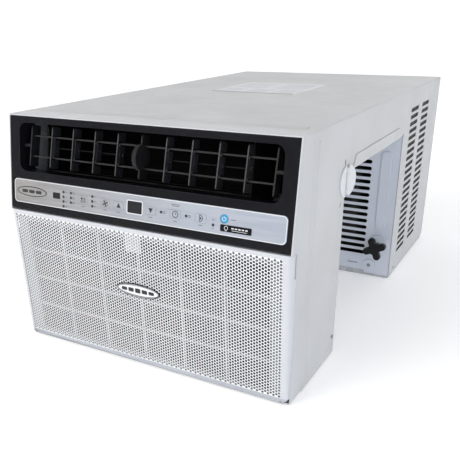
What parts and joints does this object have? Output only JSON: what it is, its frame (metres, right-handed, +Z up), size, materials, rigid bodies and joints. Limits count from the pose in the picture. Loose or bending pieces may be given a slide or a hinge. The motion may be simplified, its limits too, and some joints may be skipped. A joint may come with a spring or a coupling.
{
  "type": "saddle window air conditioner",
  "caption": "Saddle-type window air conditioner: indoor unit with louvre and grille, sill bridge, and louvred outdoor unit.",
  "frame": {"origin": "middle of the footprint, on the floor the unit stands on", "axes": "+Y from the indoor front towards the outdoor back, +X to the right seen from the room, +Z up"},
  "size_m": [0.4966, 0.8612, 0.3757],
  "materials": {
    "cabinet_paint": "satin, warm light grey-white",
    "galvanised": "dull zinc",
    "outdoor_paint": "satin, bluish light grey",
    "front_white": "fine satin",
    "black_gloss": "polished",
    "silver_strip": "metallic silver film",
    "display_glass": "polished smoke",
    "lamp": "milky lens",
    "badge": "satin silver",
    "board": "solder mask",
    "filter_plastic": "matte",
    "black_satin": "satin",
    "coil_aluminium": "mill finish",
    "motor_steel": "zinc-grey",
    "compressor_paint": "semi-gloss",
    "rubber_black": "matte",
    "copper": "copper, dull",
    "knob_charcoal": "matte",
    "zinc": "zinc plated",
    "clip_white": "satin",
    "label": "printed film"
  },
  "bodies": {
    "chassis": {"cabinet_top": "cabinet_paint", "side_panel_left": "cabinet_paint", "side_panel_right": "cabinet_paint", "indoor_rear_panel": "cabinet_paint", "rear_guard": "cabinet_paint", "bridge_floor": "galvanised", "fan_shroud": "galvanised", "base_pan": "galvanised", "outdoor_front_panel": "outdoor_paint", "front_surround": "front_white", "discharge_bezel": "black_gloss", "control_fascia": "silver_strip", "display_windows": "display_glass", "indicator_lamps": "lamp", "fascia_badges": "badge", "control_board": "board", "scroll_housing": "black_satin", "drain_pan": "black_satin", "evaporator_coil": "coil_aluminium", "condenser_coil": "coil_aluminium", "blower_motor": "motor_steel", "fan_motor": "motor_steel", "electrical_box": "motor_steel", "compressor": "compressor_paint", "compressor_grommets": "rubber_black", "cord_gland": "rubber_black", "refrigerant_lines": "copper", "cabinet_screws": "zinc", "clip_bases": "clip_white", "top_label": "label"},
    "grille": {"intake_grille": "front_white", "front_badge": "badge", "filter_frame": "filter_plastic", "filter_mesh": "filter_plastic"},
    "louvre": {"louvre_frame": "black_satin"},
    "fin_left_1": {"fin_left_1": "black_satin"},
    "fin_left_2": {"fin_left_2": "black_satin"},
    "fin_left_3": {"fin_left_3": "black_satin"},
    "fin_left_4": {"fin_left_4": "black_satin"},
    "link_left": {"link_bar_left": "black_satin"},
    "fin_right_1": {"fin_right_1": "black_satin"},
    "fin_right_2": {"fin_right_2": "black_satin"},
    "fin_right_3": {"fin_right_3": "black_satin"},
    "fin_right_4": {"fin_right_4": "black_satin"},
    "link_right": {"link_bar_right": "black_satin"},
    "key_mode": {"key_mode": "silver_strip"},
    "key_fan": {"key_fan": "silver_strip"},
    "key_up": {"key_up": "silver_strip"},
    "key_down": {"key_down": "silver_strip"},
    "key_timer": {"key_timer": "silver_strip"},
    "key_eco": {"key_eco": "silver_strip"},
    "key_power": {"key_power": "silver_strip"},
    "blower": {"blower_wheel": "black_satin"},
    "fan": {"condenser_fan": "black_satin"},
    "spindle_left": {"bumper_spindle_left": "zinc"},
    "knob_left": {"bumper_knob_left": "knob_charcoal"},
    "clip_left": {"clip_leaf_left": "clip_white"},
    "spindle_right": {"bumper_spindle_right": "zinc"},
    "knob_right": {"bumper_knob_right": "knob_charcoal"},
    "clip_right": {"clip_leaf_right": "clip_white"}
  },
  "joints": [
    {"name": "grille_hinge", "type": "hinge", "parent": "chassis", "child": "grille", "pos_m": [0, -0.4157, 0.0075], "axis": [1, 0, 0], "range_deg": [0, 60]},
    {"name": "louvre_tilt", "type": "hinge", "parent": "chassis", "child": "louvre", "pos_m": [0, -0.404, 0.3266], "axis": [1, 0, 0], "range_deg": [-18, 20]},
    {"name": "fin_left_1_swing", "type": "hinge", "parent": "louvre", "child": "fin_left_1", "pos_m": [-0.0408, -0.40109, 0.32587], "axis": [0, 0.2419, 0.9703], "range_deg": [-30, 30]},
    {"name": "fin_left_2_swing", "type": "hinge", "parent": "louvre", "child": "fin_left_2", "pos_m": [-0.0816, -0.40109, 0.32587], "axis": [0, 0.2419, 0.9703], "range_deg": [-30, 30]},
    {"name": "fin_left_3_swing", "type": "hinge", "parent": "louvre", "child": "fin_left_3", "pos_m": [-0.1224, -0.40109, 0.32587], "axis": [0, 0.2419, 0.9703], "range_deg": [-30, 30]},
    {"name": "fin_left_4_swing", "type": "hinge", "parent": "louvre", "child": "fin_left_4", "pos_m": [-0.1632, -0.40109, 0.32587], "axis": [0, 0.2419, 0.9703], "range_deg": [-30, 30]},
    {"name": "link_left_slide", "type": "slide", "parent": "louvre", "child": "link_left", "axis": [1, 0, 0], "range_m": [-0.0045, 0.0045]},
    {"name": "fin_right_1_swing", "type": "hinge", "parent": "louvre", "child": "fin_right_1", "pos_m": [0.0408, -0.40109, 0.32587], "axis": [0, 0.2419, 0.9703], "range_deg": [-30, 30]},
    {"name": "fin_right_2_swing", "type": "hinge", "parent": "louvre", "child": "fin_right_2", "pos_m": [0.0816, -0.40109, 0.32587], "axis": [0, 0.2419, 0.9703], "range_deg": [-30, 30]},
    {"name": "fin_right_3_swing", "type": "hinge", "parent": "louvre", "child": "fin_right_3", "pos_m": [0.1224, -0.40109, 0.32587], "axis": [0, 0.2419, 0.9703], "range_deg": [-30, 30]},
    {"name": "fin_right_4_swing", "type": "hinge", "parent": "louvre", "child": "fin_right_4", "pos_m": [0.1632, -0.40109, 0.32587], "axis": [0, 0.2419, 0.9703], "range_deg": [-30, 30]},
    {"name": "link_right_slide", "type": "slide", "parent": "louvre", "child": "link_right", "axis": [1, 0, 0], "range_m": [-0.0045, 0.0045]},
    {"name": "key_mode_press", "type": "slide", "parent": "chassis", "child": "key_mode", "axis": [0, 0.9914, -0.1305], "range_m": [0, 0.0008], "stiffness_N_per_m": 600},
    {"name": "key_fan_press", "type": "slide", "parent": "chassis", "child": "key_fan", "axis": [0, 0.9914, -0.1305], "range_m": [0, 0.0008], "stiffness_N_per_m": 600},
    {"name": "key_up_press", "type": "slide", "parent": "chassis", "child": "key_up", "axis": [0, 0.9914, -0.1305], "range_m": [0, 0.0008], "stiffness_N_per_m": 600},
    {"name": "key_down_press", "type": "slide", "parent": "chassis", "child": "key_down", "axis": [0, 0.9914, -0.1305], "range_m": [0, 0.0008], "stiffness_N_per_m": 600},
    {"name": "key_timer_press", "type": "slide", "parent": "chassis", "child": "key_timer", "axis": [0, 0.9914, -0.1305], "range_m": [0, 0.0008], "stiffness_N_per_m": 600},
    {"name": "key_eco_press", "type": "slide", "parent": "chassis", "child": "key_eco", "axis": [0, 0.9914, -0.1305], "range_m": [0, 0.0008], "stiffness_N_per_m": 600},
    {"name": "key_power_press", "type": "slide", "parent": "chassis", "child": "key_power", "axis": [0, 0.9914, -0.1305], "range_m": [0, 0.0008], "stiffness_N_per_m": 600},
    {"name": "blower_spin", "type": "hinge", "parent": "chassis", "child": "blower", "pos_m": [0, -0.312, 0.232], "axis": [1, 0, 0], "continuous": true},
    {"name": "fan_spin", "type": "hinge", "parent": "chassis", "child": "fan", "pos_m": [-0.025, 0.356, 0.192], "axis": [0, 1, 0], "continuous": true},
    {"name": "spindle_left_slide", "type": "slide", "parent": "chassis", "child": "spindle_left", "axis": [0, -1, 0], "range_m": [-0.015, 0.015]},
    {"name": "knob_left_turn", "type": "hinge", "parent": "spindle_left", "child": "knob_left", "pos_m": [-0.214, 0.081, 0.071], "axis": [0, -1, 0], "range_deg": [-1801, 1801]},
    {"name": "clip_left_hinge", "type": "hinge", "parent": "chassis", "child": "clip_left", "pos_m": [-0.2424, -0.231, 0.282], "axis": [0, 0, 1], "range_deg": [-12, 78]},
    {"name": "spindle_right_slide", "type": "slide", "parent": "chassis", "child": "spindle_right", "axis": [0, -1, 0], "range_m": [-0.015, 0.015]},
    {"name": "knob_right_turn", "type": "hinge", "parent": "spindle_right", "child": "knob_right", "pos_m": [0.214, 0.081, 0.071], "axis": [0, -1, 0], "range_deg": [-1801, 1801]},
    {"name": "clip_right_hinge", "type": "hinge", "parent": "chassis", "child": "clip_right", "pos_m": [0.2424, -0.231, 0.282], "axis": [0, 0, 1], "range_deg": [-78, 12]}
  ],
  "couplings": [
    {"joint": "fin_left_1_swing", "follows": "link_left_slide", "rad_per_m": -116.36},
    {"joint": "fin_left_2_swing", "follows": "link_left_slide", "rad_per_m": -116.36},
    {"joint": "fin_left_3_swing", "follows": "link_left_slide", "rad_per_m": -116.36},
    {"joint": "fin_left_4_swing", "follows": "link_left_slide", "rad_per_m": -116.36},
    {"joint": "fin_right_1_swing", "follows": "link_right_slide", "rad_per_m": -116.36},
    {"joint": "fin_right_2_swing", "follows": "link_right_slide", "rad_per_m": -116.36},
    {"joint": "fin_right_3_swing", "follows": "link_right_slide", "rad_per_m": -116.36},
    {"joint": "fin_right_4_swing", "follows": "link_right_slide", "rad_per_m": -116.36},
    {"joint": "knob_left_turn", "follows": "spindle_left_slide", "rad_per_m": 2094.4},
    {"joint": "knob_right_turn", "follows": "spindle_right_slide", "rad_per_m": 2094.4}
  ]
}
